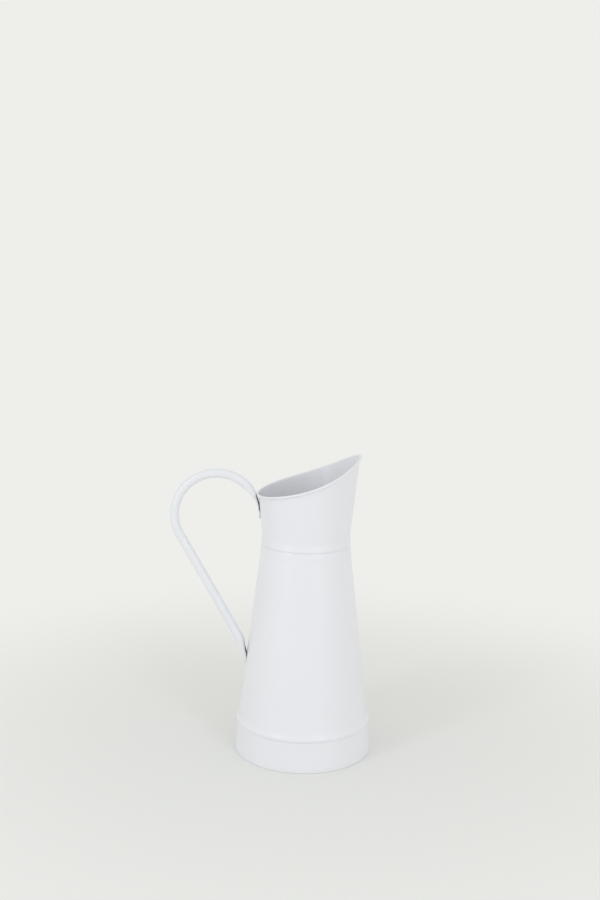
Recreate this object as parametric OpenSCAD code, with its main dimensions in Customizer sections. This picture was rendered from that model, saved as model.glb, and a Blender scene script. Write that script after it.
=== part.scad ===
// White sheet-metal pitcher: a tapered body on a foot band, a flared collar with a swept rim
// that rises to a pouring lip, and a looped tube handle whose flattened ends are spot-welded on.
// Millimetres, +Z up, origin on the table at the pitcher's axis, lip towards +X, handle towards -X.

/* [Sheet] */
// Thickness of the coated sheet that the shells are made from
sheet = 0.6; // [0.4:0.1:0.9]
// Clearance between two lapped sheets
lap_gap = 0.1; // [0.05:0.05:0.2]

/* [Foot] */
// Outer diameter of the foot on the table
foot_d = 136.4; // [124:0.2:150]
// Outer diameter of the foot band at its upper seam
foot_top_d = 130.8; // [118:0.2:140]
// Height of the seam between foot band and body
foot_h = 30.6; // [20:0.2:45]
// Height of the fold that grips the bottom disc
hem_h = 6; // [4:0.5:10]
// Chamfer on the two lower edges of the fold
hem_edge = 0.3; // [0.1:0.1:0.5]
// Height of the bottom disc's underside above the table
bottom_h = 8; // [7:0.5:16]
// Height of the sealing ring that lies in the fold
bottom_seal_h = 1.2; // [0.8:0.1:2]

/* [Body] */
// Outer diameter of the body's taper at the foot seam
cone_base_d = 130; // [118:0.2:142]
// Outer diameter of the body's taper at the neck seam
cone_top_d = 86.8; // [72:0.2:100]
// Height of the neck seam
neck_h = 212.2; // [180:0.2:235]
// Height of the raised ring over the foot seam
foot_bead_h = 6.5; // [5:0.5:14]
// How far that ring stands out
foot_bead_proud = 1.4; // [0.8:0.1:2.5]
// Length of the foot band that laps inside the body above the ring
foot_lap = 5; // [3:0.5:10]

/* [Collar] */
// Outer diameter of the collar just above its raised ring
collar_d = 86.5; // [72:0.1:102]
// Flare of the collar from the vertical, degrees
collar_flare = 5.92; // [2:0.02:9]
// Height of the raised ring over the neck seam
neck_bead_h = 8; // [5:0.5:12]
// How far that ring stands out
neck_bead_proud = 0.5; // [0.4:0.1:2]
// Length of the body that laps inside the collar above the ring
neck_lap = 5; // [3:0.5:10]

/* [Rim] */
// Overall height, to the top of the rolled edge at the lip
lip_h = 300; // [280:0.5:320]
// Height of the top of the rolled edge at the two sides
rim_side_h = 273.5; // [262:0.5:285]
// Height of the top of the rolled edge at the handle
rim_back_h = 261.5; // [256:0.5:270]
// How far the rim dips below a plain curve half way to the lip
rim_dip = 1.2; // [0:0.1:3]
// Outer diameter of the rolled edge
curl_d = 2.4; // [2.2:0.1:4]
// How far the sheet rolls round the wire, degrees
curl_turn = 285; // [240:5:300]
// Clearance between the wire and the sheet rolled round it
wire_gap = 0.05; // [0.02:0.01:0.1]

/* [Handle] */
// Outer diameter of the handle's tube
tube_d = 9; // [7:0.2:11]
// Wall of the handle's tube
tube_wall = 0.7; // [0.5:0.1:1]
// Radius of the loop, at the tube's centre line
loop_r = 41.6; // [35:0.2:46]
// Height of the loop's centre
loop_z = 238.5; // [232:0.5:242]
// Height of the bend where the lower leg meets the body
knee_z = 106; // [80:1:130]
// Radius of that bend
knee_r = 36; // [20:1:50]
// Length of the lower end below the bend
low_end = 18; // [16:0.5:24]
// Length of the upper end below the point where the loop touches the collar
high_end = 7; // [6:0.5:12]
// Length of the lower end that is fully flat
low_flat = 10; // [9:0.5:14]
// Length of the upper end that is fully flat
high_flat = 15; // [12:0.5:18]
// Length over which the tube flattens at the lower end
low_taper = 26; // [20:1:36]
// Length over which the tube flattens at the upper end
high_taper = 22; // [18:1:30]
// Half of the slit left inside a flattened end
slit = 0.1; // [0.05:0.05:0.2]
// Corner radius of a flattened end
tab_corner = 5; // [2:0.5:5]
// Clearance between a flattened end and the wall
seat_gap = 0.1; // [0.05:0.05:0.2]

/* [Spot welds] */
// Diameter of a spot weld
weld_d = 3.6; // [2.5:0.1:4]
// Depth of a spot weld in each of the two sheets
weld_depth = 0.35; // [0.2:0.05:0.4]
// Distance of the outer spot weld from the end of the tube
weld_end = 3; // [2.6:0.2:4]
// Distance between the two spot welds
weld_pitch = 4.4; // [4.2:0.2:5]

/* [Hidden] */
$fn = 120;
coat = [0.9, 0.91, 0.92];
steel = [0.62, 0.63, 0.65];
sealant = [0.78, 0.78, 0.75];

// Steps round a raised ring, and those at each of its ends that the sealing compound leaves free
bead_steps = 12;
seal_steps = 3;
// Steps round the rim, round the tube and along the handle's bends
rim_steps = 72;
curl_steps = 9;
wire_sides = 8;
tube_sides = 18;
loop_step = 7;
flatten_steps = 9;
corner_steps = 4;

// Rounds of search for the rim's edge, angle across which its slope is read, and reach of its cutter
edge_rounds = 8;
slope_angle = 0.5;
cutter_over = 1.2;

// Radii of the tapered walls at a height
foot_r = foot_d / 2;
foot_top_r = foot_top_d / 2;
cone_base_r = cone_base_d / 2;
cone_top_r = cone_top_d / 2;
collar_r = collar_d / 2;
collar_z = neck_h + neck_bead_h;
function foot_wall(z) = foot_r + (foot_top_r - foot_r) * z / foot_h;
function cone_wall(z) = cone_base_r + (cone_top_r - cone_base_r) * (z - foot_h) / (neck_h - foot_h);
function collar_wall(z) = collar_r + (z - collar_z) * tan(collar_flare);
cone_lean = atan((cone_base_r - cone_top_r) / (neck_h - foot_h));

// Lapped seams: the upper sheet's edge clears the lower sheet, which steps in behind the raised ring
foot_step_z = foot_h + foot_bead_h;
cone_edge_r = foot_top_r + lap_gap + sheet;
collar_edge_r = cone_top_r + lap_gap + sheet;
neck_spigot_r = collar_r - sheet - lap_gap;
function foot_spigot(z) = cone_wall(z) - sheet - lap_gap;
function bead(z0, r0, z1, r1, proud) = [for (i = [0:bead_steps]) let (t = i / bead_steps)
    [r0 + (r1 - r0) * t + proud * sin(180 * t), z0 + (z1 - z0) * t]];
foot_bead = bead(foot_h, cone_edge_r, foot_step_z, cone_wall(foot_step_z), foot_bead_proud);
neck_bead = bead(neck_h, collar_edge_r, collar_z, collar_r, neck_bead_proud);
foot_step = [[foot_top_r, foot_h], [foot_spigot(foot_step_z), foot_step_z]];
neck_step = [[cone_top_r, neck_h], [neck_spigot_r, collar_z]];

// The fold at the foot: wall, lapped flange of the bottom disc, and the wall's return
hem_slot = sheet + 2 * lap_gap;
hem_w = 2 * sheet + hem_slot;
flange_z = sheet + bottom_seal_h;
function flange_wall(z) = foot_wall(z) - sheet - lap_gap;

// Rim: the wall's edge lies where the collar meets a side-view curve through three heights
curl_r = curl_d / 2;
lip_z = lip_h - curl_r;
side_z = rim_side_h - curl_r;
back_z = rim_back_h - curl_r;
lip_x = collar_wall(lip_z);
back_x = -collar_wall(back_z);
rim_bow = ((lip_z - side_z) / lip_x - (back_z - side_z) / back_x) / (lip_x - back_x);
rim_rise = (lip_z - side_z) / lip_x - rim_bow * lip_x;
dip_scale = rim_dip / (pow(lip_x / 2, 2) * (lip_x / 2 - back_x));
function rim_z(x) = side_z + rim_rise * x + rim_bow * x * x + dip_scale * x * (x - back_x) * (x - lip_x);
function edge_z(a, z, n) = n <= 0 ? z : edge_z(a, rim_z(collar_wall(z) * cos(a)), n - 1);
function edge(a) = let (z = edge_z(a, side_z, edge_rounds), r = collar_wall(z)) [r * cos(a), r * sin(a), z];
function unit(v) = v / norm(v);

// Section frame at the rim's edge: out of the wall, and up the wall across the rim
function edge_out(a) = [cos(a) * cos(collar_flare), sin(a) * cos(collar_flare), -sin(collar_flare)];
function edge_up(a) = unit(cross(edge_out(a), unit(edge(a + slope_angle) - edge(a - slope_angle))));
function on_rim(a, p) = edge(a) + p[0] * edge_out(a) + p[1] * edge_up(a);

// The rolled edge: a hook of sheet with a stouter root, which joins the wall below it
root_clear = 0.2;
root_len = 1.4;
root_more = 0.12;
curl_hole_r = curl_r - sheet;
wire_r = curl_hole_r - wire_gap;
root_top = curl_hole_r + root_clear;
root_low = root_top + root_len;
root_cut = root_top + root_len / 2;
function hook(r, i) = let (a = 180 - curl_turn * i / curl_steps) [curl_hole_r + r * cos(a), r * sin(a)];
curl_section = concat(
    [[-sheet - root_more, -root_low], [-sheet - root_more, -root_top], [-sheet, -root_top]],
    [for (i = [0:curl_steps]) hook(curl_r, i)],
    [for (i = [curl_steps:-1:0]) hook(curl_hole_r, i)],
    [[0, -root_top], [root_more, -root_top], [root_more, -root_low]]);
wire_section = [for (i = [0:wire_sides - 1]) let (a = -360 * i / wire_sides)
    [curl_hole_r + wire_r * cos(a), wire_r * sin(a)]];

// Handle route in the plane of distance from the axis and height, from the lower end to the upper:
// the lower end lies along the body, a bend leads into the straight leg, and the loop touches the collar
tube_r = tube_d / 2;
tab_half = tube_wall + slit;
low_stand = seat_gap + tube_r;
high_stand = seat_gap + tab_half;
knee = [cone_wall(knee_z) + low_stand / cos(cone_lean), knee_z];
loop_c = [collar_wall(loop_z) + (high_stand + loop_r) / cos(collar_flare), loop_z];
to_loop = loop_c - knee;
low_heading = 90 + cone_lean;
leg_heading = atan2(to_loop[1], to_loop[0]) - asin(loop_r / norm(to_loop));
high_heading = 270 - collar_flare;
leg_len = sqrt(pow(norm(to_loop), 2) - pow(loop_r, 2));
knee_turn = leg_heading - low_heading;
knee_cut = knee_r * tan(abs(knee_turn) / 2);
loop_turn = high_heading - leg_heading;

// Each move is a length and a turn in degrees
moves = [
    [low_end - knee_cut, 0],
    [knee_r * abs(knee_turn) * PI / 180, knee_turn],
    [leg_len - knee_cut, 0],
    [loop_r * loop_turn * PI / 180, loop_turn],
    [high_end, 0]];
last_move = len(moves) - 1;
function run(i) = i < 0 ? 0 : moves[i][0] + run(i - 1);
route_len = run(last_move);
route_start = knee - low_end * [cos(low_heading), sin(low_heading)];
function chord(length, turn) = turn == 0 ? length : 360 * length / (abs(turn) * PI) * sin(abs(turn) / 2);
function step_on(at, length, turn) = let (c = chord(length, turn), mid = at[2] + turn / 2)
    [at[0] + c * cos(mid), at[1] + c * sin(mid), at[2] + turn];
function walk(at, s, i) = s <= moves[i][0] || i == last_move
    ? step_on(at, s, moves[i][1] * s / moves[i][0])
    : walk(step_on(at, moves[i][0], moves[i][1]), s - moves[i][0], i + 1);
function route(s) = walk([route_start[0], route_start[1], low_heading], s, 0);

// The tube keeps its girth as it flattens: at the lower end towards its wall side, at the upper evenly
function is_low(s) = s < route_len / 2;
function end_dist(s) = min(s, route_len - s);
function ease(t) = let (c = min(max(t, 0), 1)) c * c * (3 - 2 * c);
function roundness(s) = is_low(s) ? ease((s - low_flat) / low_taper)
    : ease((route_len - s - high_flat) / high_taper);
function half_t(s) = tab_half + (tube_r - tab_half) * roundness(s);
function round_in(d) = d >= tab_corner ? 0 : tab_corner - sqrt(pow(tab_corner, 2) - pow(tab_corner - d, 2));
function half_w(s) = half_t(s) + PI / 2 * (tube_r - half_t(s)) - round_in(end_dist(s));
function shift(s) = is_low(s) ? tube_r - half_t(s) : 0;
function stadium(h, w, i) = let (a = 360 * (i + 0.5) / tube_sides, side = sin(a) > 0 ? 1 : -1)
    [h * cos(a), side * max(w - h, 0) + min(h, w) * sin(a)];
function tube_point(s, inset, i) = let (
        at = route(s),
        p = stadium(half_t(s) - inset, half_w(s) - inset, i),
        n = p[0] + shift(s))
    [-at[0] + n * sin(at[2]), p[1], at[1] + n * cos(at[2])];

// Rings along the tube: close together at its rounded ends and where it flattens and bends
corner_at = [for (i = [0:corner_steps]) tab_corner * (1 - cos(90 * i / corner_steps))];
loop_from = run(2);
loop_to = route_len - high_flat - high_taper;
loop_rings = ceil((loop_to - loop_from) / loop_r * 180 / PI / loop_step);
ring_at = concat(
    corner_at,
    [for (i = [0:flatten_steps]) low_flat + low_taper * i / flatten_steps],
    [for (i = [0:loop_rings - 1]) loop_from + (loop_to - loop_from) * i / loop_rings],
    [for (i = [flatten_steps:-1:0]) route_len - high_flat - high_taper * i / flatten_steps],
    [for (i = [corner_steps:-1:0]) route_len - corner_at[i]]);

// Heights on the walls of the two ends of the tube, and the distance of a spot weld from its end
low_end_z = route_start[1] - low_stand * sin(cone_lean);
high_end_z = route(route_len)[1] + high_stand * sin(collar_flare);
function weld_at(i) = weld_end + weld_pitch * i;

// A turned shell of sheet inside an outer profile that runs upwards
module shell(outer) {
    inner = [for (i = [len(outer) - 1:-1:0]) outer[i] - [sheet, 0]];
    rotate_extrude() polygon(concat(outer, inner));
}

// A closed ring swept along the rim with a section in the edge's own frame
module rim_ring(section) {
    n = len(section);
    points = [for (k = [0:rim_steps - 1], p = section) on_rim(360 * k / rim_steps, p)];
    faces = [for (k = [0:rim_steps - 1], i = [0:n - 1]) let (
            a = k * n, b = ((k + 1) % rim_steps) * n, j = (i + 1) % n)
        each [[a + i, b + j, a + j], [a + i, b + i, b + j]]];
    polyhedron(points, faces);
}

// Sealing compound between a raised ring and the sheet that steps in behind it
module seam_seal(ring, step) {
    filled = [seal_steps:bead_steps - seal_steps];
    outer = [for (i = filled) ring[i] - [sheet + lap_gap, 0]];
    inner = [for (i = filled) step[0] + (step[1] - step[0]) * i / bead_steps + [lap_gap, 0]];
    rotate_extrude() polygon(concat(outer, [for (i = [len(inner) - 1:-1:0]) inner[i]]));
}

// A spot weld sunk into the wall and into the flattened tube that lies on it
module spot(r, z, tilt) {
    translate([-r, 0, z]) rotate([0, tilt, 0]) translate([0, 0, -weld_depth])
        cylinder(d = weld_d, h = 2 * weld_depth + seat_gap, $fn = 32);
}

module upper_spots() {
    for (i = [0:1]) let (z = high_end_z + weld_at(i) * cos(collar_flare))
        spot(collar_wall(z), z, -90 - collar_flare);
}

module lower_spots() {
    for (i = [0:1]) let (z = low_end_z + weld_at(i) * cos(cone_lean))
        spot(cone_wall(z), z, -90 + cone_lean);
}

module foot_band() {
    top = [foot_spigot(foot_step_z + foot_lap), foot_step_z + foot_lap];
    slot_in = sheet + hem_slot;
    color(coat) rotate_extrude() polygon([
        [foot_r - hem_edge, 0],
        [foot_wall(hem_edge), hem_edge],
        foot_step[0],
        foot_step[1],
        top,
        top - [sheet, 0],
        foot_step[1] - [sheet, 0],
        foot_step[0] - [sheet, 0],
        [foot_wall(sheet) - sheet, sheet],
        [foot_wall(sheet) - slot_in, sheet],
        [foot_wall(hem_h) - slot_in, hem_h],
        [foot_wall(hem_h) - hem_w, hem_h],
        [foot_wall(hem_edge) - hem_w, hem_edge],
        [foot_r - hem_w + hem_edge, 0]]);
}

module bottom_disc() {
    top_z = bottom_h + sheet;
    color(coat) rotate_extrude() polygon([
        [0, bottom_h],
        [flange_wall(bottom_h) - sheet, bottom_h],
        [flange_wall(flange_z) - sheet, flange_z],
        [flange_wall(flange_z), flange_z],
        [flange_wall(bottom_h), bottom_h],
        [flange_wall(top_z) - sheet / 2, top_z],
        [0, top_z]]);
}

module bottom_seal() {
    low = [flange_wall(sheet), sheet];
    high = [flange_wall(flange_z), flange_z];
    color(sealant) rotate_extrude() polygon([low, high, high - [sheet, 0], low - [sheet, 0]]);
}

module body_cone() {
    color(coat) difference() {
        shell(concat(foot_bead, neck_step, [[neck_spigot_r, collar_z + neck_lap]]));
        lower_spots();
    }
}

module foot_seal() {
    color(sealant) seam_seal(foot_bead, foot_step);
}

module collar() {
    top_z = lip_h + curl_d;
    reach = cutter_over * lip_x;
    cut = [for (i = [0:rim_steps]) let (x = reach * (2 * i / rim_steps - 1)) [x, rim_z(x) - root_cut]];
    color(coat) {
        difference() {
            shell(concat(neck_bead, [[collar_wall(top_z), top_z]]));
            rotate([90, 0, 0]) linear_extrude(2 * foot_d, center = true)
                polygon(concat(cut, [[reach, 2 * lip_h], [-reach, 2 * lip_h]]));
            upper_spots();
        }
        rim_ring(curl_section);
    }
}

module neck_seal() {
    color(sealant) seam_seal(neck_bead, neck_step);
}

module rim_wire() {
    color(steel) rim_ring(wire_section);
}

module handle_tube() {
    n = tube_sides;
    rings = len(ring_at);
    inner = rings * n;
    points = concat(
        [for (s = ring_at, i = [0:n - 1]) tube_point(s, 0, i)],
        [for (s = ring_at, i = [0:n - 1]) tube_point(s, tube_wall, i)]);
    last = (rings - 1) * n;
    faces = [
        for (k = [0:rings - 2], i = [0:n - 1]) let (a = k * n, b = a + n, j = (i + 1) % n)
            each [[a + i, a + j, b + j], [a + i, b + j, b + i],
                [inner + a + i, inner + b + j, inner + a + j], [inner + a + i, inner + b + i, inner + b + j]],
        for (i = [0:n - 1]) let (j = (i + 1) % n)
            each [[i, inner + j, j], [i, inner + i, inner + j],
                [last + i, last + j, inner + last + j], [last + i, inner + last + j, inner + last + i]]];
    color(coat) difference() {
        polyhedron(points, faces);
        upper_spots();
        lower_spots();
    }
}

module upper_welds() {
    color(steel) upper_spots();
}

module lower_welds() {
    color(steel) lower_spots();
}

foot_band();
bottom_disc();
bottom_seal();
body_cone();
foot_seal();
collar();
neck_seal();
rim_wire();
handle_tube();
upper_welds();
lower_welds();
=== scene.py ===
# %% [markdown]
# # A pitcher of white-coated sheet steel
#
# The real pitcher is a few thin sheets and a pipe. A short band stands on the table, a tall tapered body
# sits on it, a flared collar with a rolled, slanting rim closes the top, and a handle bent from pipe is
# welded on by its two flattened ends. The engineering model arrives as a fixed frame, in metres, with its
# origin on the table below the middle of the pitcher, the pouring lip towards +X and the handle towards
# -X. Each step below models one piece again, in the place where the frame has it, with the soft edges and
# the finish that show.

# %% Load the frame
import math

import bmesh
import bpy
from mathutils import Matrix, Vector


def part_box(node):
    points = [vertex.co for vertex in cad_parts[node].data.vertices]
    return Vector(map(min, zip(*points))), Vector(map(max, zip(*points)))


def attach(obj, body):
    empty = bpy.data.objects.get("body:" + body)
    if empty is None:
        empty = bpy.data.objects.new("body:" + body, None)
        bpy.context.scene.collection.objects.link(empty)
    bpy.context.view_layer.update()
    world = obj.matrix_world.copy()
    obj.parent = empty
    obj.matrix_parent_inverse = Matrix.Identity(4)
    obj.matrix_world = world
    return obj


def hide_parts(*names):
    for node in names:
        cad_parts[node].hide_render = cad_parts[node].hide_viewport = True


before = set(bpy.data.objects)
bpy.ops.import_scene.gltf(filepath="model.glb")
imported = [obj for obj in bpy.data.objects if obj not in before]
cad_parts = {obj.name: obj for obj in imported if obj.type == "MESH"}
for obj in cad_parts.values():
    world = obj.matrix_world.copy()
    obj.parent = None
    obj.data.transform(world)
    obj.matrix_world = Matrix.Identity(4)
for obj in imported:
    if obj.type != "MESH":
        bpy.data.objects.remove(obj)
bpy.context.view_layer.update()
print("nodes in the frame:", ", ".join(sorted(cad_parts)))

# %% [markdown]
# ## The camera
#
# The photographer stood a little above the lip, with the lens tipped slightly down and not quite level,
# so the pitcher leans a hair to the right. A camera could be aimed with a constraint, but its place and
# its two small angles say more plainly where the picture was taken from. They were found by laying the
# foot, both seams and the rim over the picture.

# %% Camera
MM = 0.001
camera_place = Vector((-7.4, -1195.6, 521.8)) * MM
tip_down = math.radians(10.31)
lean = math.radians(0.99)
lens_mm = 50.0
sensor_mm = 36.0

camera_data = bpy.data.cameras.new("camera")
camera_data.lens = lens_mm
camera_data.sensor_width = sensor_mm
camera = bpy.data.objects.new("camera", camera_data)
camera.matrix_world = (
    Matrix.Translation(camera_place)
    @ Matrix.Rotation(math.pi / 2 - tip_down, 4, "X")
    @ Matrix.Rotation(lean, 4, "Z")
)
bpy.context.scene.collection.objects.link(camera)
bpy.context.scene.camera = camera
print("camera stands", round(camera_place.length, 3), "m from the foot")

# %% [markdown]
# ## Sizes that the sheets share
#
# All walls are one sheet thick, and where two sheets lap, one steps in behind the other and leaves a hair
# of clearance. The two seam heights are read from the frame, where they are the lower edges of the body
# and of the collar. The tapers are straight lines, so each wall is a radius that depends on the height.

# %% Walls
SHEET = 0.6 * MM
LAP_GAP = 0.1 * MM

foot_seam_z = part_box("body_cone")[0].z
neck_seam_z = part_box("collar")[0].z
foot_r = 68.2 * MM
foot_top_r = 65.4 * MM
body_foot_r = 65.0 * MM
body_neck_r = 43.4 * MM
collar_foot_r = 43.25 * MM
collar_flare = math.radians(5.92)
foot_ring_h = 6.5 * MM
neck_ring_h = 8.0 * MM
foot_ring_top_z = foot_seam_z + foot_ring_h
collar_z = neck_seam_z + neck_ring_h
body_slope = (body_neck_r - body_foot_r) / (neck_seam_z - foot_seam_z)
body_lean = math.atan(-body_slope)
collar_slope = math.tan(collar_flare)


def foot_wall(z):
    return foot_r + (foot_top_r - foot_r) * z / foot_seam_z


def body_wall(z):
    return body_foot_r + body_slope * (z - foot_seam_z)


def collar_wall(z):
    return collar_foot_r + collar_slope * (z - collar_z)


print("seams at", round(foot_seam_z / MM, 2), "and", round(neck_seam_z / MM, 2), "mm")

# %% [markdown]
# ## From an outline to a sheet
#
# A metal spinner presses sheet over a turning form, and Blender's spin does the same with an outline: a
# row of points and edges in the XZ plane goes once round the Z axis. The result is a skin without
# thickness. A Solidify modifier then gives it the sheet's gauge on the hidden side, and a Bevel modifier
# eases the cut edges, where a sprayed coat never lies sharp. Modifiers are used because the gauge stays
# one number.

# %% Spin an outline
AROUND = 160
MERGE = 0.001 * MM


def spin_outline(outline):
    """Turn (radius, height) points once round the axis into an open skin."""
    bm = bmesh.new()
    points = [bm.verts.new((r, 0.0, z)) for r, z in outline]
    lines = [bm.edges.new(pair) for pair in zip(points, points[1:])]
    bmesh.ops.spin(
        bm,
        geom=points + lines,
        cent=(0, 0, 0),
        axis=(0, 0, 1),
        angle=math.tau,
        steps=AROUND,
        use_merge=True,
    )
    bmesh.ops.remove_doubles(bm, verts=bm.verts, dist=MERGE)
    bmesh.ops.recalc_face_normals(bm, faces=bm.faces)
    return bm


print("outlines go round in", AROUND, "steps")


# %% Parts of an outline
def arc(centre, radius, start, end, steps):
    """Points on an arc between two angles in degrees."""
    angles = [math.radians(start + (end - start) * i / steps) for i in range(steps + 1)]
    return [(centre[0] + radius * math.cos(a), centre[1] + radius * math.sin(a)) for a in angles]


def straight(start, end, steps):
    """Evenly spaced points after the start of a line, up to its end."""
    shares = [i / steps for i in range(1, steps + 1)]
    return [(start[0] + (end[0] - start[0]) * t, start[1] + (end[1] - start[1]) * t) for t in shares]


# %% Make a piece from a skin
def add_object(name, bm):
    """An object at the origin that takes over a finished bmesh."""
    mesh = bpy.data.meshes.new(name)
    bm.to_mesh(mesh)
    bm.free()
    made = bpy.data.objects.new(name, mesh)
    bpy.context.scene.collection.objects.link(made)
    return made


def make_piece(name, bm, node):
    """A smooth piece that rides on the frame and stands for a CAD node."""
    piece = add_object(name, bm)
    piece.data.shade_smooth()
    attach(piece, "root")
    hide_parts(node)
    print(name, "has", len(piece.data.polygons), "faces in its skin")
    return piece


# %% Give a skin its gauge
INWARDS = -1.0
CUT_EDGE = 0.22 * MM
cut_edge_steps = 3
cut_edge_angle = math.radians(50)


def give_gauge(piece):
    """Thicken a skin by one sheet, away from its visible side, and ease its cut edges."""
    gauge = piece.modifiers.new("gauge", "SOLIDIFY")
    gauge.thickness = SHEET
    gauge.offset = INWARDS
    gauge.use_even_offset = True
    gauge.use_quality_normals = True
    eased = piece.modifiers.new("eased_edges", "BEVEL")
    eased.width = CUT_EDGE
    eased.segments = cut_edge_steps
    eased.limit_method = "ANGLE"
    eased.angle_limit = cut_edge_angle


print("cut edges are eased by", round(CUT_EDGE / MM, 2), "mm")

# %% [markdown]
# ## Foot band
#
# The foot is a strip rolled into a slightly tapered ring. Its lower edge is folded up inside, where it
# grips the bottom, and its upper edge steps in and slips behind the body. The outline runs from that
# hidden upper edge down the outside, round the fold and up the return. The fold is two small arcs with a
# narrow flat between them, because the weight of the pitcher has set it flat on the table. The top of the
# band is spread a little, so that it meets the raised ring of the body almost level, and only a fine
# groove is left at the seam.

# %% Foot band
fold_h = 6.0 * MM
fold_w = 2.0 * MM
fold_round = 0.8 * MM
foot_lap = 5.0 * MM
seam_spread = 0.55 * MM
seam_spread_h = 12.0 * MM
seam_groove = 0.38 * MM
spread_steps = 8
corner_steps = 6
foot_rows = 4
fold_rows = 3


def ease(t):
    """A soft step from 0 to 1."""
    t = min(max(t, 0.0), 1.0)
    return t * t * (3 - 2 * t)


def foot_spigot(z):
    return body_wall(z) - SHEET - LAP_GAP


def spread_foot(below_seam):
    """Point on the foot band at a depth below the seam, where its top is spread."""
    z = foot_seam_z - below_seam
    return foot_wall(z) + seam_spread * (1 - ease(below_seam / seam_spread_h)), z


foot_outer = (foot_wall(fold_round) - fold_round, fold_round)
foot_inner = (foot_wall(fold_round) - fold_w + fold_round, fold_round)
fold_top = (foot_wall(fold_h) - fold_w, fold_h)
spigot_top_z = foot_ring_top_z + foot_lap
spread_depths = [seam_groove + i / spread_steps * seam_spread_h for i in range(spread_steps + 1)]
foot_outline = [(foot_spigot(spigot_top_z), spigot_top_z)]
foot_outline += [(foot_spigot(foot_ring_top_z), foot_ring_top_z), (foot_top_r, foot_seam_z)]
foot_outline += [spread_foot(depth) for depth in spread_depths]
foot_outline += straight(foot_outline[-1], (foot_wall(fold_round), fold_round), foot_rows)
foot_outline += arc(foot_outer, fold_round, 0, -90, corner_steps)[1:]
foot_outline += arc(foot_inner, fold_round, -90, -180, corner_steps)
foot_outline += straight(foot_outline[-1], fold_top, fold_rows)

foot_sheet = make_piece("foot_sheet", spin_outline(foot_outline), "foot_band")
give_gauge(foot_sheet)

# %% [markdown]
# ## Bottom
#
# The bottom is a pressed disc that sits a little above the table, so that it never rocks on the foot. Its
# rim turns down with a small round into a flange, which the fold of the foot band grips. Spun from its
# centre outwards, the outline closes at the axis, where merging the doubles leaves one pole.

# %% Bottom
bottom_z = 8.6 * MM
bottom_round = 1.4 * MM
flange_z = 1.8 * MM
bottom_rows = 8
flange_rows = 2


def flange_wall(z):
    return foot_wall(z) - SHEET - LAP_GAP


bottom_corner = (flange_wall(bottom_z) - bottom_round, bottom_z - bottom_round)
bottom_outline = [(0.0, bottom_z)]
bottom_outline += straight((0.0, bottom_z), (bottom_corner[0], bottom_z), bottom_rows)
bottom_outline += arc(bottom_corner, bottom_round, 90, 0, corner_steps)[1:]
bottom_outline += straight(bottom_outline[-1], (flange_wall(flange_z), flange_z), flange_rows)

bottom_sheet = make_piece("bottom_sheet", spin_outline(bottom_outline), "bottom_disc")
give_gauge(bottom_sheet)

# %% [markdown]
# ## Body
#
# The body is the largest sheet: a straight taper with a raised ring pressed into its lower edge, which
# covers the foot seam. Light from the front breaks on that ring, so its shape matters. Its lower half
# stands almost straight, and its upper half turns into the taper within a few millimetres. A curve that
# is given a slope at both of its ends keeps the outline smooth where the parts meet. At the top the sheet
# turns in with a rounded shoulder and slips behind the collar, which leaves a fine shadow line at the
# neck with a bright line below it.

# %% Raised ring
ring_steps = 10


def swell(start, start_slope, end, end_slope, steps):
    """Points after the start of a smooth curve; a slope is the radius gained per height."""
    points = []
    height = end[1] - start[1]
    for i in range(1, steps + 1):
        t = i / steps
        drawn_out = start_slope * t * (1 - t) ** 2 - end_slope * t**2 * (1 - t)
        r = start[0] + (end[0] - start[0]) * ease(t) + height * drawn_out
        points.append((r, start[1] + height * t))
    return points


def raised_ring(edge, crest, top, top_slope):
    """Outline of a ring from a cut edge over its crest to the top of its flank."""
    edge_slope = (crest[0] - edge[0]) / (crest[1] - edge[1])
    rising = swell(edge, edge_slope, crest, 0.0, ring_steps)
    return [edge] + rising + swell(crest, 0.0, top, top_slope, ring_steps)


# %% Foot of the body
ring_edge_r = 66.6 * MM
ring_crest_r = 66.75 * MM
ring_crest_h = 2.2 * MM
ring_top_proud = 0.35 * MM
ring_steepness = 1.3
ring_fade_h = 25.0 * MM

ring_edge = (ring_edge_r, foot_seam_z)
ring_crest = (ring_crest_r, foot_seam_z + ring_crest_h)
ring_top = (body_wall(foot_ring_top_z) + ring_top_proud, foot_ring_top_z)
ring_slope = body_slope * ring_steepness
fade_z = foot_seam_z + ring_fade_h
body_foot = raised_ring(ring_edge, ring_crest, ring_top, ring_slope)
body_foot += swell(ring_top, ring_slope, (body_wall(fade_z), fade_z), body_slope, ring_steps)
print("raised ring fades into the taper at", round(fade_z / MM, 1), "mm")

# %% Shoulder of the body
shoulder_r = 7.0 * MM
shoulder_turn = 22.0
shoulder_steps = 8
shoulder_h = 11.0 * MM
shoulder_end_r = 43.38 * MM
shoulder_drop = 1.2 * MM

shoulder_from = neck_seam_z - shoulder_h
shoulder_end_z = neck_seam_z - shoulder_drop
lean_deg = math.degrees(body_lean)
shoulder_end = math.radians(lean_deg + shoulder_turn)
shoulder_centre = (
    shoulder_end_r - shoulder_r * math.cos(shoulder_end),
    shoulder_end_z - shoulder_r * math.sin(shoulder_end),
)
shoulder = arc(shoulder_centre, shoulder_r, lean_deg, lean_deg + shoulder_turn, shoulder_steps)
print("shoulder starts at", round(shoulder[0][1] / MM, 2), "mm")

# %% Body
neck_lap = 5.0 * MM
neck_entry_r = 43.3 * MM
neck_entry_h = 0.9 * MM
body_rows = 14
entry_rows = 4
spigot_rows = 2

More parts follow.
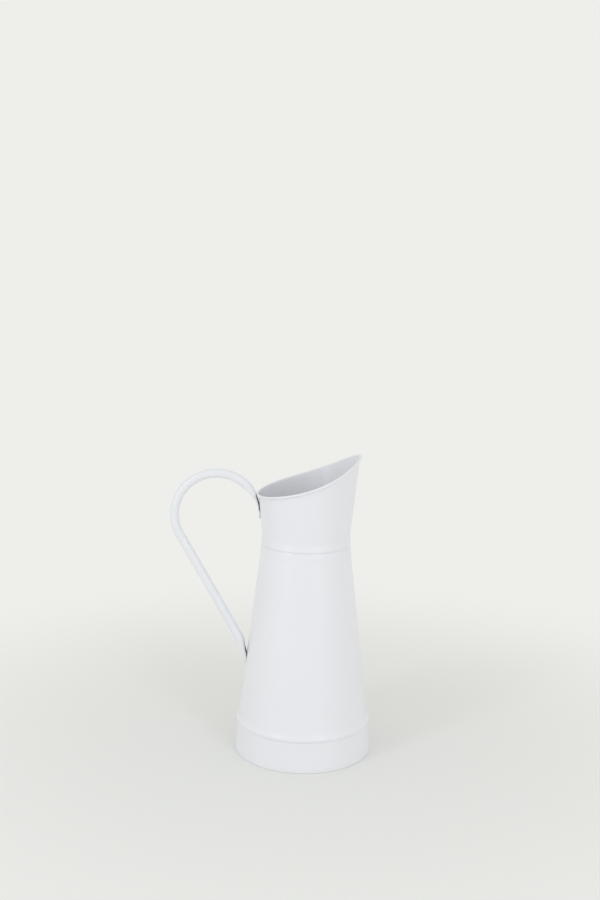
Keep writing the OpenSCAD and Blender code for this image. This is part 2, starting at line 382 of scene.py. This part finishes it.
neck_spigot_r = collar_foot_r - SHEET - LAP_GAP
neck_entry = (neck_entry_r, neck_seam_z + neck_entry_h)
body_outline = body_foot + straight(body_foot[-1], (body_wall(shoulder_from), shoulder_from), body_rows)
body_outline += swell(body_outline[-1], body_slope, shoulder[0], body_slope, shoulder_steps)
body_outline += shoulder[1:] + [neck_entry]
body_outline += straight(neck_entry, (neck_spigot_r, collar_z), entry_rows)
body_outline += straight(body_outline[-1], (neck_spigot_r, collar_z + neck_lap), spigot_rows)

body_sheet = make_piece("body_sheet", spin_outline(body_outline), "body_cone")
give_gauge(body_sheet)

# %% [markdown]
# ## The slanting rim
#
# The collar is a short cone, cut along a curve that is lowest at the handle and rises over the sides to
# the lip. Seen from the side the cut is a parabola through three heights, with a slight dip on its way to
# the lip. The edge lies where that curve meets the flared wall. The wall's radius depends on the height,
# so the height is found by a few rounds of substitution.

# %% Rim curve
lip_h = 300.0 * MM
side_h = 273.5 * MM
back_h = 261.5 * MM
curl_r = 1.2 * MM
rim_dip = 1.2 * MM
search_rounds = 8

lip_z = lip_h - curl_r
side_z = side_h - curl_r
back_z = back_h - curl_r
lip_x = collar_wall(lip_z)
back_x = -collar_wall(back_z)
rim_bow = ((lip_z - side_z) / lip_x - (back_z - side_z) / back_x) / (lip_x - back_x)
rim_rise = (lip_z - side_z) / lip_x - rim_bow * lip_x
dip_scale = rim_dip / ((lip_x / 2) ** 2 * (lip_x / 2 - back_x))


def rim_height(x):
    """Height of the cut, seen from the side."""
    return side_z + rim_rise * x + rim_bow * x**2 + dip_scale * x * (x - back_x) * (x - lip_x)


def rim_edge(turn):
    """Point on the cut edge of the collar at an angle round the axis."""
    z = side_z
    for _ in range(search_rounds):
        z = rim_height(collar_wall(z) * math.cos(turn))
    r = collar_wall(z)
    return Vector((r * math.cos(turn), r * math.sin(turn), z))


print("rim runs from", round(rim_edge(math.pi).z / MM, 1), "to", round(rim_edge(0).z / MM, 1), "mm")

# %% Section across the rim
slope_turn = math.radians(0.5)


def on_rim(turn, out, up):
    """A point beside the edge: out from the wall, and up the wall square to the rim."""
    away = Vector((math.cos(turn), math.sin(turn), -math.tan(collar_flare))).normalized()
    along = rim_edge(turn + slope_turn) - rim_edge(turn - slope_turn)
    rise = away.cross(along).normalized()
    return rim_edge(turn) + away * out + rise * up


print("roll at the lip reaches", round(on_rim(0.0, 0.0, curl_r).z / MM, 1), "mm")

# %% [markdown]
# ## Collar
#
# A tinsmith rolls the cut edge outwards over a wire, so the side of the sheet that faces into the pitcher
# ends up on the outside of the roll. The skin is therefore the inside of the collar. Its lower part is
# spun, and opens like a bell where it slips over the body. Then the top ring of edges is extruded again
# and again: first up the wall to the slanting rim, then round the roll. Every vertex carries its angle
# round the axis as an attribute, which extruding copies, so each new ring knows where it belongs. The
# roll is drawn from the same section all the way round, square to the rim.

# %% Extrude a ring to a new place
def keep_turns(bm):
    """Store each vertex's angle round the axis."""
    turn = bm.verts.layers.float.new("turn")
    for vert in bm.verts:
        vert[turn] = math.atan2(vert.co.y, vert.co.x)
    return turn


def extrude_ring(bm, ring, turn, place):
    """Extrude a closed ring of edges and put each new vertex where place says for its angle."""
    made = bmesh.ops.extrude_edge_only(bm, edges=ring)["geom"]
    for vert in made:
        if isinstance(vert, bmesh.types.BMVert):
            vert.co = place(vert[turn])
    return [edge for edge in made if isinstance(edge, bmesh.types.BMEdge) and edge.is_boundary]


# %% Collar
bell_edge = (body_neck_r + LAP_GAP + SHEET, neck_seam_z)
bell_slope = -0.04
bell_over = 1.0 * MM
plain_z = collar_z + bell_over
collar_rows = 12
roll_turn = math.radians(285)
roll_steps = 18
wire_hole_r = curl_r - SHEET


def collar_row(turn, share):
    """A point on the inside of the wall, part of the way from the spun part up to the rim."""
    top = rim_edge(turn)
    z = plain_z + (top.z - plain_z) * share
    r = collar_wall(z) - SHEET / math.cos(collar_flare)
    return Vector((r * math.cos(turn), r * math.sin(turn), z))


def roll_point(turn, share):
    """A point on the outside of the roll, from the inner wall over the top to the outer wall."""
    angle = math.pi - roll_turn * share
    return on_rim(turn, wire_hole_r + curl_r * math.cos(angle), curl_r * math.sin(angle))


bell = swell(bell_edge, bell_slope, (collar_wall(plain_z), plain_z), collar_slope, ring_steps)
collar_outline = [(r - SHEET, z) for r, z in [bell_edge] + bell]
collar_skin = spin_outline(collar_outline)
turn = keep_turns(collar_skin)
top_z = max(z for _, z in collar_outline)
ring = [edge for edge in collar_skin.edges if all(vert.co.z > top_z - MERGE for vert in edge.verts)]
for row in range(1, collar_rows):
    ring = extrude_ring(collar_skin, ring, turn, lambda a: collar_row(a, row / collar_rows))
for step in range(roll_steps + 1):
    ring = extrude_ring(collar_skin, ring, turn, lambda a: roll_point(a, step / roll_steps))
bmesh.ops.recalc_face_normals(collar_skin, faces=collar_skin.faces)

collar_sheet = make_piece("collar_sheet", collar_skin, "collar")
give_gauge(collar_sheet)

# %% [markdown]
# ## Wire in the rim
#
# The wire inside the roll keeps the thin edge stiff. It shows only as a thread of steel in the narrow gap
# below the roll. A bevelled curve would do, but the rim already has a function for any point beside its
# edge, so a ring is extruded once round the wire's section, and merging the doubles closes it on itself.

# %% Rim wire
wire_r = 0.54 * MM
wire_steps = 14


def wire_point(turn, share):
    """A point on the wire, part of the way round its section."""
    angle = math.tau * share
    return on_rim(turn, wire_hole_r + wire_r * math.cos(angle), wire_r * math.sin(angle))


wire_skin = bmesh.new()
bmesh.ops.create_circle(wire_skin, segments=AROUND, radius=lip_x)
turn = keep_turns(wire_skin)
for vert in wire_skin.verts:
    vert.co = wire_point(vert[turn], 0.0)
ring = list(wire_skin.edges)
for step in range(1, wire_steps + 1):
    ring = extrude_ring(wire_skin, ring, turn, lambda a: wire_point(a, step / wire_steps))
bmesh.ops.remove_doubles(wire_skin, verts=wire_skin.verts, dist=MERGE)
bmesh.ops.recalc_face_normals(wire_skin, faces=wire_skin.faces)
rim_rod = make_piece("rim_rod", wire_skin, "rim_wire")

# %% [markdown]
# ## The handle's route
#
# The handle is one length of pipe bent in a flat plane. From its lower end, which lies on the body, a
# bend leads into a straight leg, and the leg runs into a loop that comes down along the collar. A bending
# machine is told lengths and turns, and so is this script: each move is a length and an angle. The leg's
# direction follows from the loop, which it meets as a tangent.

# %% Bends
pipe_r = 4.5 * MM
pipe_wall = 0.7 * MM
slit = 0.1 * MM
seat_gap = 0.1 * MM
loop_r = 41.6 * MM
loop_z = 238.5 * MM
knee_z = 106.0 * MM
knee_r = 36.0 * MM
low_end = 18.0 * MM
high_end = 7.0 * MM

flat_half = pipe_wall + slit
low_stand = seat_gap + pipe_r
high_stand = seat_gap + flat_half
knee = Vector((body_wall(knee_z) + low_stand / math.cos(body_lean), knee_z))
loop_out = (high_stand + loop_r) / math.cos(collar_flare)
loop_centre = Vector((collar_wall(loop_z) + loop_out, loop_z))
to_loop = loop_centre - knee

straight_up = math.pi / 2
straight_down = 1.5 * math.pi
low_heading = straight_up + body_lean
leg_heading = math.atan2(to_loop.y, to_loop.x) - math.asin(loop_r / to_loop.length)
high_heading = straight_down - collar_flare
knee_turn = leg_heading - low_heading
loop_turn = high_heading - leg_heading
knee_cut = knee_r * math.tan(abs(knee_turn) / 2)
leg_length = math.sqrt(to_loop.length**2 - loop_r**2)

bends = [
    (low_end - knee_cut, 0.0),
    (knee_r * abs(knee_turn), knee_turn),
    (leg_length - knee_cut, 0.0),
    (loop_r * loop_turn, loop_turn),
    (high_end, 0.0),
]
pipe_length = sum(length for length, _ in bends)
pipe_start = knee - low_end * Vector((math.cos(low_heading), math.sin(low_heading)))
print("pipe is", round(pipe_length / MM, 1), "mm long")


# %% Walk along the bends
def walk(distance):
    """Distance from the axis, height and heading of the pipe's centre line."""
    at = pipe_start.copy()
    heading = low_heading
    left = distance
    for length, bend in bends:
        part = min(left, length)
        angle = bend * part / length
        chord = part if angle == 0 else 2 * part / abs(angle) * math.sin(abs(angle) / 2)
        at += chord * Vector((math.cos(heading + angle / 2), math.sin(heading + angle / 2)))
        heading += angle
        left -= part
    return at, heading


print("upper end of the pipe heads", round(math.degrees(walk(pipe_length)[1]), 1), "degrees round")

# %% [markdown]
# ## The pipe and its flattened ends
#
# Each end of the pipe is squeezed flat in a press, which keeps the girth: what the pipe loses in
# thickness it gains in width. Its section is a stadium, two straights and two half circles, and the
# vertices are spread evenly along it, as points on the metal are. The lower end is pressed towards the
# body, from which it lifts above its welds, and the upper end evenly. Each tongue is hollowed to the
# curve of its wall and touches it at the tip, where the spot welder drew the two together and the coat
# fills the corner beside it. The corners of the tongues are rounded, and the welder leaves two shallow
# dimples on each. Both ends are pressed shut, so nothing of the pipe's inside shows: its skin needs no
# gauge and is closed with one face at each end.

# %% Flattened ends
low_flat = 5.0 * MM
high_flat = 15.0 * MM
low_taper = 24.0 * MM
high_taper = 22.0 * MM
low_lift = 0.65
lift_from = 6.0 * MM
lift_over = 12.0 * MM
tongue_corner = 5.0 * MM


def corner_loss(from_end, radius):
    """How far a rounded corner takes an edge of the tongue in, near its end."""
    if from_end >= radius:
        return 0.0
    return radius - math.sqrt(radius**2 - (radius - from_end) ** 2)


tongue_w = 2 * flat_half + math.pi * (pipe_r - flat_half)
print("tongues are", round(tongue_w / MM, 1), "mm wide and", round(2 * flat_half / MM, 1), "mm thick")


# %% Section of the pipe
def stadium(share, half_t, half_w):
    """Point a share of the way round a stadium: across its thickness, and along its width."""
    flat = max(half_w - half_t, 0.0)
    bend = math.pi * min(half_t, half_w)
    run = (share % 1.0) * (4 * flat + 2 * bend)
    if run < flat:
        return half_t, run
    if run < flat + bend:
        angle = (run - flat) / bend * math.pi
        return half_t * math.cos(angle), flat + min(half_t, half_w) * math.sin(angle)
    if run < 3 * flat + bend:
        return -half_t, 2 * flat + bend - run
    if run < 3 * flat + 2 * bend:
        angle = (run - 3 * flat - bend) / bend * math.pi
        return -half_t * math.cos(angle), -flat - min(half_t, half_w) * math.sin(angle)
    return half_t, run - 4 * flat - 2 * bend


# %% Weld dimples
welds_per_end = 2
weld_from_end = 3.0 * MM
weld_pitch = 4.4 * MM
dimple_r = 2.1 * MM
dimple_depth = 0.12 * MM


def dimple(from_end, across):
    """Depth of the welder's dimples at a place on the outside of a tongue."""
    depth = 0.0
    for i in range(welds_per_end):
        reach = math.hypot(from_end - weld_from_end - i * weld_pitch, across) / dimple_r
        depth += dimple_depth * ease(1.0 - reach)
    return depth


print("dimples are", round(dimple(weld_from_end, 0.0) / MM, 2), "mm deep")

# %% Point on the pipe
touch_from = 7.0 * MM
touch_fade = 3.0 * MM
touch_sink = 0.02 * MM
coat_fill = 0.7


def pipe_point(distance, angle):
    """A point on the skin of the pipe, a distance along it and an angle round it."""
    is_low = distance < pipe_length / 2
    wall_side = 1.0 if is_low else -1.0
    from_end = min(distance, pipe_length - distance)
    flat, taper = (low_flat, low_taper) if is_low else (high_flat, high_taper)
    wall_r = body_wall(knee_z) if is_low else collar_wall(loop_z)
    roundness = ease((from_end - flat) / taper)
    half_t = flat_half + (pipe_r - flat_half) * roundness
    full_half_w = half_t + math.pi / 2 * (pipe_r - half_t)
    cut_loss = corner_loss(from_end, CUT_EDGE)
    half_w = full_half_w - corner_loss(from_end, tongue_corner) - cut_loss
    touch = ease((touch_from - from_end) / touch_fade)
    through, across = stadium(angle / math.tau, half_t, half_w)
    if through * wall_side > 0:
        through = wall_side * half_t * abs(through / half_t) ** (1 - coat_fill * touch)
    else:
        through *= 1 - cut_loss / half_t
        through += wall_side * dimple(from_end, across)
    if is_low:
        through += (pipe_r - half_t) * (1 - low_lift * ease((from_end - lift_from) / lift_over))
    through += wall_side * (1 - roundness) * across**2 / (2 * wall_r)
    through += wall_side * (seat_gap + touch_sink) * touch
    at, heading = walk(distance)
    return Vector((-at.x + through * math.sin(heading), across, at.y + through * math.cos(heading)))


# %% Handle
pipe_sides = 80
corner_rings = 8
cut_rings = 4
tongue_step = 0.6 * MM
pipe_step = 1.6 * MM


def spaced(start, end, step):
    """Evenly spaced distances from the start, without the end."""
    count = math.ceil((end - start) / step)
    return [start + (end - start) * i / count for i in range(count)]


def round_off(radius, count):
    """Distances from the end at which rings follow a rounded corner."""
    return [radius * (1 - math.cos(math.pi / 2 * i / count)) for i in range(count)]


corner_at = [s for s in round_off(tongue_corner, corner_rings) if s > CUT_EDGE]
end_at = round_off(CUT_EDGE, cut_rings) + [CUT_EDGE] + corner_at
end_at += spaced(tongue_corner, high_flat, tongue_step)
rings_at = end_at + spaced(high_flat, pipe_length - high_flat, pipe_step)
rings_at += [pipe_length - high_flat] + [pipe_length - s for s in reversed(end_at)]

pipe_skin = bmesh.new()
bmesh.ops.create_circle(pipe_skin, segments=pipe_sides, radius=pipe_r)
turn = keep_turns(pipe_skin)
for vert in pipe_skin.verts:
    vert.co = pipe_point(0.0, vert[turn])
first_ring = list(pipe_skin.edges)
ring = first_ring
for distance in rings_at[1:]:
    ring = extrude_ring(pipe_skin, ring, turn, lambda a: pipe_point(distance, a))
bmesh.ops.edgeloop_fill(pipe_skin, edges=first_ring)
bmesh.ops.edgeloop_fill(pipe_skin, edges=ring)
bmesh.ops.recalc_face_normals(pipe_skin, faces=pipe_skin.faces)

handle_pipe = make_piece("handle_pipe", pipe_skin, "handle_tube")

# %% [markdown]
# ## Wiring a material
#
# Shader graphs are easier to read as sums than as boxes, so a small class wraps a socket and turns sums
# and products into Math nodes. Any other node comes from one method, which takes the node's type, its
# settings and then the values or links of its sockets.

# %% Socket class
class Signal:
    """A socket of a shader graph that can be used in sums."""

    def __init__(self, tree, socket=None):
        self.tree = tree
        self.socket = socket

    def node(self, kind, settings, sockets, output=0):
        """A new node of the graph, as the Signal of one of its outputs."""
        made = self.tree.nodes.new(kind)
        for name, value in settings.items():
            setattr(made, name, value)
        for name, value in sockets.items():
            if isinstance(value, Signal):
                self.tree.links.new(value.socket, made.inputs[name])
            else:
                made.inputs[name].default_value = value
        return Signal(self.tree, made.outputs[output] if made.outputs else None)

    def math(self, operation, *values):
        return self.node("ShaderNodeMath", {"operation": operation}, dict(enumerate(values)))

    def __add__(self, other):
        return self.math("ADD", self, other)

    def __sub__(self, other):
        return self.math("SUBTRACT", self, other)

    def __rsub__(self, other):
        return self.math("SUBTRACT", other, self)

    def __mul__(self, other):
        return self.math("MULTIPLY", self, other)

    __radd__ = __add__
    __rmul__ = __mul__


# %% Nodes that the finishes share
MIX_FACTOR, MIX_A, MIX_B, MIX_RESULT = 0, 6, 7, 2


def new_finish(name):
    """An empty material and a wire to build it with."""
    material = bpy.data.materials.new(name)
    material.use_nodes = True
    material.node_tree.nodes.clear()
    return material, Signal(material.node_tree)


def object_place(wire):
    return wire.node("ShaderNodeTexCoord", {}, {}, "Object")


def noise(wire, place, scale, detail=2.0):
    return wire.node("ShaderNodeTexNoise", {}, {"Vector": place, "Scale": scale, "Detail": detail})


def blend_colours(wire, factor, first, second):
    settings = {"data_type": "RGBA"}
    sockets = {MIX_FACTOR: factor, MIX_A: first, MIX_B: second}
    return wire.node("ShaderNodeMix", settings, sockets, MIX_RESULT)


def soft_step(wire, value, start, end):
    """0 before the start, 1 after the end and a soft change between them."""
    settings = {"interpolation_type": "SMOOTHSTEP"}
    return wire.node("ShaderNodeMapRange", settings, {"Value": value, "From Min": start, "From Max": end})


def bump(wire, height, distance):
    return wire.node("ShaderNodeBump", {}, {"Height": height, "Distance": distance})


def close_finish(wire, sockets):
    """Set a shader's sockets and join it to the output."""
    shader = wire.node("ShaderNodeBsdfPrincipled", {}, sockets)
    wire.node("ShaderNodeOutputMaterial", {}, {"Surface": shader})


# %% [markdown]
# ## White coat
#
# The coat is a white stoving enamel with a soft gloss. It is sprayed, so it dries with a faint ripple a
# millimetre or two across, it varies a little in tone over a hand's breadth, and its gloss is not quite
# even. All of that is small: the coat is clean and new. The narrow wedges between the handle and the
# walls are darkened with painted shade, which stands in for the deep shadow in those crevices. A mask
# paints it: how far a point stands off the wall, within a stretch of height and width above each tongue's
# tip. A wedge opens upwards, and the mask opens with it while its sides draw in. On the handle the
# painted shade reaches a little higher than on the wall.

# %% Painted shade in the wedges
wedge_narrowing = 0.2
wedge_edge = 2.5 * MM
wedge_skin = 0.3 * MM
wedge_near = 0.3 * MM
wedge_far = 0.9 * MM
wedge_lag = 1.2


# Painted shade: a mask that darkens the wedges where the handle's tongues meet the body and the collar.
def wedge_shade_mask(wire, place, wall, slope, heights, opening, foot_half_w):
    """1 in the wedge between a wall and the handle, fading in and out at the heights, and 0 elsewhere."""
    x, y, z = [wire.node("ShaderNodeSeparateXYZ", {}, {"Vector": place}, axis) for axis in "XYZ"]
    gap = wire.math("SQRT", x * x + y * y) - (z * slope + wall(0.0))
    open_to = (z - heights[0]) * opening
    near = 1.0 - soft_step(wire, gap, open_to + wedge_near, open_to + wedge_far)
    outside = wire.math("GREATER_THAN", gap, -wedge_skin)
    behind = wire.math("LESS_THAN", x, 0.0)
    half_w = foot_half_w - (z - heights[0]) * wedge_narrowing
    narrow = 1.0 - soft_step(wire, wire.math("ABSOLUTE", y), half_w, half_w + wedge_edge)
    lower = soft_step(wire, z, heights[0], heights[1])
    upper = 1.0 - soft_step(wire, z - gap * wedge_lag, heights[2], heights[3])
    return near * outside * behind * narrow * lower * upper


# Heights above a tip, in millimetres, at which the painted shade begins, is full, starts to fade and
# ends.
low_wedge_up = (4.5, 7.5, 17.0, 26.0)
high_wedge_up = (7.2, 10.0, 17.5, 22.5)
low_tip_z = pipe_start.y
high_tip_z = walk(pipe_length)[0].y
low_wedge_z = [low_tip_z + up * MM for up in low_wedge_up]
high_wedge_z = [high_tip_z + up * MM for up in high_wedge_up]
low_opening = 0.17
high_opening = 0.14
low_half_w = 5.0 * MM
high_half_w = 6.2 * MM
print("tongues end at", round(low_tip_z / MM, 1), "and", round(high_tip_z / MM, 1), "mm")

# %% White coat
drift_scale = 16.0
ripple_scale = 420.0
ripple_h = 0.004 * MM
rub_scale = 45.0
coat_rough = 0.29
rub_rough = 0.08
# Extra roughness where the painted shade lies in the wedges.
wedge_shade_rough = 0.4
gloss = 0.12
gloss_rough = 0.18
coat_bright = (0.838, 0.844, 0.879, 1.0)
coat_deep = (0.808, 0.815, 0.850, 1.0)
# Near black of the painted shade in the wedges between the handle and the walls.
wedge_shade_dark = (0.020, 0.021, 0.024, 1.0)


def white_coat():
    material, wire = new_finish("white_coat")
    place = object_place(wire)
    drift = noise(wire, place, drift_scale)
    ripple = noise(wire, place, ripple_scale, detail=1.0)
    rub = noise(wire, place, rub_scale, detail=3.0)
    low = wedge_shade_mask(wire, place, body_wall, body_slope, low_wedge_z, low_opening, low_half_w)
    high = wedge_shade_mask(wire, place, collar_wall, collar_slope, high_wedge_z, high_opening, high_half_w)
    # The painted shade in both wedges, which darkens the coat and takes away its gloss.
    painted_shade = low + high
    tone = blend_colours(wire, drift, coat_deep, coat_bright)
    close_finish(wire, {
        "Base Color": blend_colours(wire, painted_shade, tone, wedge_shade_dark),
        "Roughness": coat_rough + rub * rub_rough + painted_shade * wedge_shade_rough,
        "Coat Weight": gloss - painted_shade * gloss,
        "Coat Roughness": gloss_rough,
        "Normal": bump(wire, ripple, ripple_h),
    })
    return material


coat = white_coat()
for piece in (foot_sheet, bottom_sheet, body_sheet, collar_sheet, handle_pipe):
    piece.data.materials.append(coat)
print("white coat has", len(coat.node_tree.nodes), "nodes")

# %% [markdown]
# ## Bare steel and sealing compound
#
# Two finishes hide in the seams. The wire and the spot welds are bare mild steel, drawn or pressed, with
# fine streaks and a dull bloom. The sealing compound is a putty that was pressed in by hand and has set
# matt and lumpy. The nodes from the frame keep their shape and only get these finishes.

# %% Bare steel
bloom_scale = 130.0
streak_scale = 900.0
streak_squeeze = (1.0, 1.0, 8.0)
streak_h = 0.02 * MM
steel_rough = 0.28
streak_rough = 0.22
steel_bright = (0.60, 0.61, 0.62, 1.0)
steel_dull = (0.42, 0.41, 0.40, 1.0)


def bare_steel():
    material, wire = new_finish("bare_steel")
    place = object_place(wire)
    squeezed = wire.node("ShaderNodeMapping", {}, {"Vector": place, "Scale": streak_squeeze})
    bloom = noise(wire, place, bloom_scale, detail=3.0)
    streak = noise(wire, squeezed, streak_scale)
    close_finish(wire, {
        "Base Color": blend_colours(wire, bloom, steel_dull, steel_bright),
        "Metallic": 1.0,
        "Roughness": steel_rough + streak * streak_rough,
        "Normal": bump(wire, streak, streak_h),
    })
    return material


# %% Sealing compound
lump_scale = 240.0
lump_h = 0.12 * MM
pore_scale = 1500.0
pore_share = 0.4
putty_rough = 0.72
pore_rough = 0.15
putty_pale = (0.64, 0.64, 0.60, 1.0)
putty_deep = (0.50, 0.50, 0.46, 1.0)


def sealing_compound():
    material, wire = new_finish("sealing_compound")
    place = object_place(wire)
    lumps = noise(wire, place, lump_scale, detail=3.0)
    pores = noise(wire, place, pore_scale, detail=1.0)
    close_finish(wire, {
        "Base Color": blend_colours(wire, lumps, putty_deep, putty_pale),
        "Roughness": putty_rough + pores * pore_rough,
        "Normal": bump(wire, lumps + pores * pore_share, lump_h),
    })
    return material


# %% Finish the hidden pieces
def dress(node, material):
    """Give a node of the frame its finish."""
    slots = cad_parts[node].data.materials
    slots.clear()
    slots.append(material)


steel = bare_steel()
putty = sealing_compound()
rim_rod.data.materials.append(steel)
for node in ("upper_welds", "lower_welds"):
    dress(node, steel)
for node in ("bottom_seal", "foot_seal", "neck_seal"):
    dress(node, putty)
print("steel has", len(steel.node_tree.nodes), "nodes and sealing compound", len(putty.node_tree.nodes))

# %% [markdown]
# ## Floor and background
#
# A pale room surrounds the pitcher and lights everything softly. Its walls are one even colour and its
# ceiling is a little darker, which keeps the top of the handle from standing out. The floor is a wide
# disc of the same kind of white, which takes the pitcher's shadow. Far from the pitcher it fades into the
# colour of the walls, for the camera and for reflections only, so no horizon shows.

# %% World
room_white = (0.855, 0.862, 0.832, 1.0)
ceiling_white = (0.765, 0.772, 0.755, 1.0)
ceiling_from = 0.1
ceiling_full = 0.9

world = bpy.data.worlds.new("room")
world.use_nodes = True
world.node_tree.nodes.clear()
room = Signal(world.node_tree)
direction = room.node("ShaderNodeTexCoord", {}, {}, "Generated")
rise = room.node("ShaderNodeSeparateXYZ", {}, {"Vector": direction}, "Z")
overhead = soft_step(room, rise, ceiling_from, ceiling_full)
shade = blend_colours(room, overhead, room_white, ceiling_white)
glow = room.node("ShaderNodeBackground", {}, {"Color": shade, "Strength": 1.0})
room.node("ShaderNodeOutputWorld", {}, {"Surface": glow})
bpy.context.scene.world = world
print("walls of the room are", room_white[:3], "and its ceiling", ceiling_white[:3])

# %% Floor
floor_white = (0.865, 0.865, 0.845, 1.0)
floor_r = 12.0
floor_sides = 96
fade_from = 0.15
fade_to = 0.62
tone_scale = 3.0
tone_share = 0.06
grain_scale = 180.0
grain_h = 0.05 * MM


def floor_finish():
    material, wire = new_finish("floor_white")
    place = object_place(wire)
    reach = wire.node("ShaderNodeVectorMath", {"operation": "LENGTH"}, {0: place}, "Value")
    far = soft_step(wire, reach, fade_from, fade_to)
    light_path = {
        ray: wire.node("ShaderNodeLightPath", {}, {}, ray)
        for ray in ("Is Camera Ray", "Is Glossy Ray", "Is Transmission Ray")
    }
    seen = sum(light_path.values(), 0.0)
    tone = noise(wire, place, tone_scale)
    grain = noise(wire, place, grain_scale)
    paint = blend_colours(wire, tone * tone_share, floor_white, room_white)
    matt = wire.node("ShaderNodeBsdfDiffuse", {}, {"Color": paint, "Normal": bump(wire, grain, grain_h)})
    lit = wire.node("ShaderNodeEmission", {}, {"Color": room_white, "Strength": 1.0})
    mixed = wire.node("ShaderNodeMixShader", {}, {0: far * seen, 1: matt, 2: lit})
    wire.node("ShaderNodeOutputMaterial", {}, {"Surface": mixed})
    return material


floor_skin = bmesh.new()
bmesh.ops.create_circle(floor_skin, cap_ends=True, segments=floor_sides, radius=floor_r)
floor = add_object("floor", floor_skin)
floor.data.materials.append(floor_finish())
print("floor is", 2 * floor_r, "m across")

# %% [markdown]
# ## Two tall windows
#
# The highlights on the body and its rings come in pairs, one left and one right of the middle, so two
# tall soft lights stand beside the camera and reach down almost to the height of the floor. They are
# large and weak: they add a little to the even light of the room and give the round forms their slow
# falloff towards the edges.

# %% Lights
aim = Vector((0.0, 0.0, 150.0)) * MM
window_h = 1.2
window_tint = (0.95, 0.985, 1.065)
window_distance = 1.7
window_lift = math.radians(20)


def window(name, azimuth, width, power):
    """A soft light beside the camera; its azimuth is 0 in front of the pitcher and grows to the right."""
    data = bpy.data.lights.new(name, "AREA")
    data.shape = "RECTANGLE"
    data.size, data.size_y = width, window_h
    data.energy = power
    data.color = window_tint
    lamp = bpy.data.objects.new(name, data)
    flat = math.cos(window_lift)
    direction = Vector((math.sin(azimuth) * flat, -math.cos(azimuth) * flat, math.sin(window_lift)))
    lamp.location = aim + direction * window_distance
    lamp.rotation_mode = "QUATERNION"
    lamp.rotation_quaternion = direction.to_track_quat("Z", "Y")
    lamp.visible_camera = False
    bpy.context.scene.collection.objects.link(lamp)
    print(name, "shines with", power, "W from", round(lamp.location.length, 2), "m")


window("left_window", azimuth=math.radians(-46), width=0.30, power=3.6)
window("right_window", azimuth=math.radians(29), width=0.34, power=3.5)
bpy.context.scene.view_settings.view_transform = "Standard"
